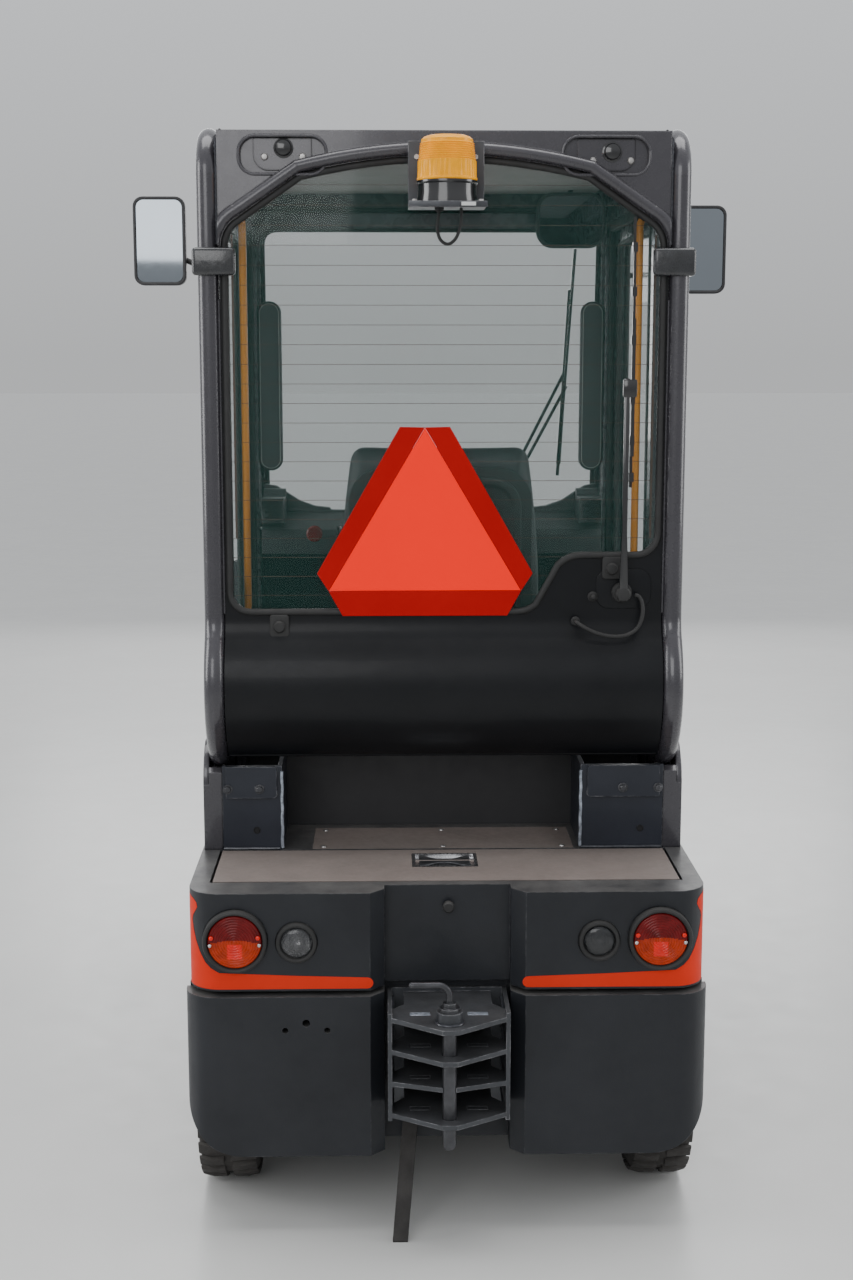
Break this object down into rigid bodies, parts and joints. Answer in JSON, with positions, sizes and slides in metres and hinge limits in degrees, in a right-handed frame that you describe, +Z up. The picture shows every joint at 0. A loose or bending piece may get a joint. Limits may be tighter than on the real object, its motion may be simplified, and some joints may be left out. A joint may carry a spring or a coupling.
{
  "type": "three-wheel electric baggage tow tractor with cab",
  "caption": "Compact electric baggage tow tractor: weather cab, flat rear deck with lid, ladder tow coupling, steered front wheel and driven rear wheels.",
  "frame": {"origin": "on the floor below the middle of the vehicle", "axes": "+Y forward, +X to the right of the driver, +Z up"},
  "size_m": [1.466, 1.832, 2.062],
  "materials": {
    "body_paint": "satin anthracite paint",
    "cab_paint": "satin anthracite paint",
    "deck": "brown-grey anti-slip sheet",
    "bracket": "grey-blue paint",
    "steel_dark": "black chassis paint",
    "steel_worn": "worn steel",
    "rubber": "black rubber",
    "tyre": "dusty rubber",
    "rim": "silver paint",
    "glass": "tinted safety glass",
    "trim": "black plastic",
    "seat_cover": "black woven cover",
    "lamp": "moulded lens",
    "headlamp": "clear lens",
    "amber": "ribbed amber lens",
    "plate_grey": "grey plate",
    "emblem": "fluorescent red sheet",
    "yellow": "yellow powder coat"
  },
  "bodies": {
    "root": {"chassis": "steel_dark", "rear_bumper": "body_paint", "rear_body": "body_paint", "deck_plate": "deck", "rear_lamps": "lamp", "hitch_frame": "steel_dark", "tow_pin": "steel_worn", "static_strap": "rubber", "cab_feet": "bracket", "rear_frame": "cab_paint", "rear_panel": "cab_paint", "window_seal": "rubber", "cab_glass": "glass", "roof": "cab_paint", "roof_beam": "cab_paint", "beacon_mount": "plate_grey", "beacon_lens": "amber", "beacon_lead": "rubber", "wipers": "trim", "washer_hose": "rubber", "emblem": "emblem", "side_frames": "cab_paint", "front_frame": "cab_paint", "mirrors": "trim", "nose": "body_paint", "front_bumper": "trim", "headlamps": "headlamp", "console": "trim", "pedals": "rubber", "seat_hood": "body_paint", "seat_frame": "trim", "seat_pads": "seat_cover", "grab_rails": "yellow", "battery": "plate_grey", "rear_axle": "steel_dark"},
    "wheel_rear_left": {"rim_rear_left": "rim", "tyre_rear_left": "tyre"},
    "wheel_rear_right": {"rim_rear_right": "rim", "tyre_rear_right": "tyre"},
    "steering": {"steer_fork": "steel_dark"},
    "wheel_front": {"rim_front": "rim", "tyre_front": "tyre"},
    "hand_wheel": {"steering_wheel": "trim"},
    "door_left": {"door_left": "cab_paint", "door_glass_left": "glass"},
    "door_right": {"door_right": "cab_paint", "door_glass_right": "glass"},
    "lid": {"deck_lid": "deck"}
  },
  "joints": [
    {"name": "wheel_rear_left_spin", "type": "hinge", "parent": "root", "child": "wheel_rear_left", "pos_m": [-0.424, -0.51, 0.2], "axis": [1, 0, 0], "continuous": true},
    {"name": "wheel_rear_right_spin", "type": "hinge", "parent": "root", "child": "wheel_rear_right", "pos_m": [0.424, -0.51, 0.2], "axis": [1, 0, 0], "continuous": true},
    {"name": "steer", "type": "hinge", "parent": "root", "child": "steering", "pos_m": [0, 0.55, 0.43], "axis": [0, 0, 1], "range_deg": [-80, 80]},
    {"name": "wheel_front_spin", "type": "hinge", "parent": "steering", "child": "wheel_front", "pos_m": [0, 0.55, 0.2], "axis": [1, 0, 0], "continuous": true},
    {"name": "hand_wheel_turn", "type": "hinge", "parent": "root", "child": "hand_wheel", "pos_m": [0, 0.32605, 1.11634], "axis": [0, -0.8829, 0.4695], "range_deg": [-360, 360]},
    {"name": "door_left_swing", "type": "hinge", "parent": "root", "child": "door_left", "pos_m": [-0.486, -0.164, 0.25], "axis": [0, 0, 1], "range_deg": [0, 100]},
    {"name": "door_right_swing", "type": "hinge", "parent": "root", "child": "door_right", "pos_m": [0.486, -0.164, 0.25], "axis": [0, 0, -1], "range_deg": [0, 100]},
    {"name": "lid_swing", "type": "hinge", "parent": "root", "child": "lid", "pos_m": [0, -0.702, 0.66], "axis": [1, 0, 0], "range_deg": [0, 100]}
  ],
  "couplings": [
    {"joint": "hand_wheel_turn", "follows": "steer", "ratio": 4.5}
  ]
}
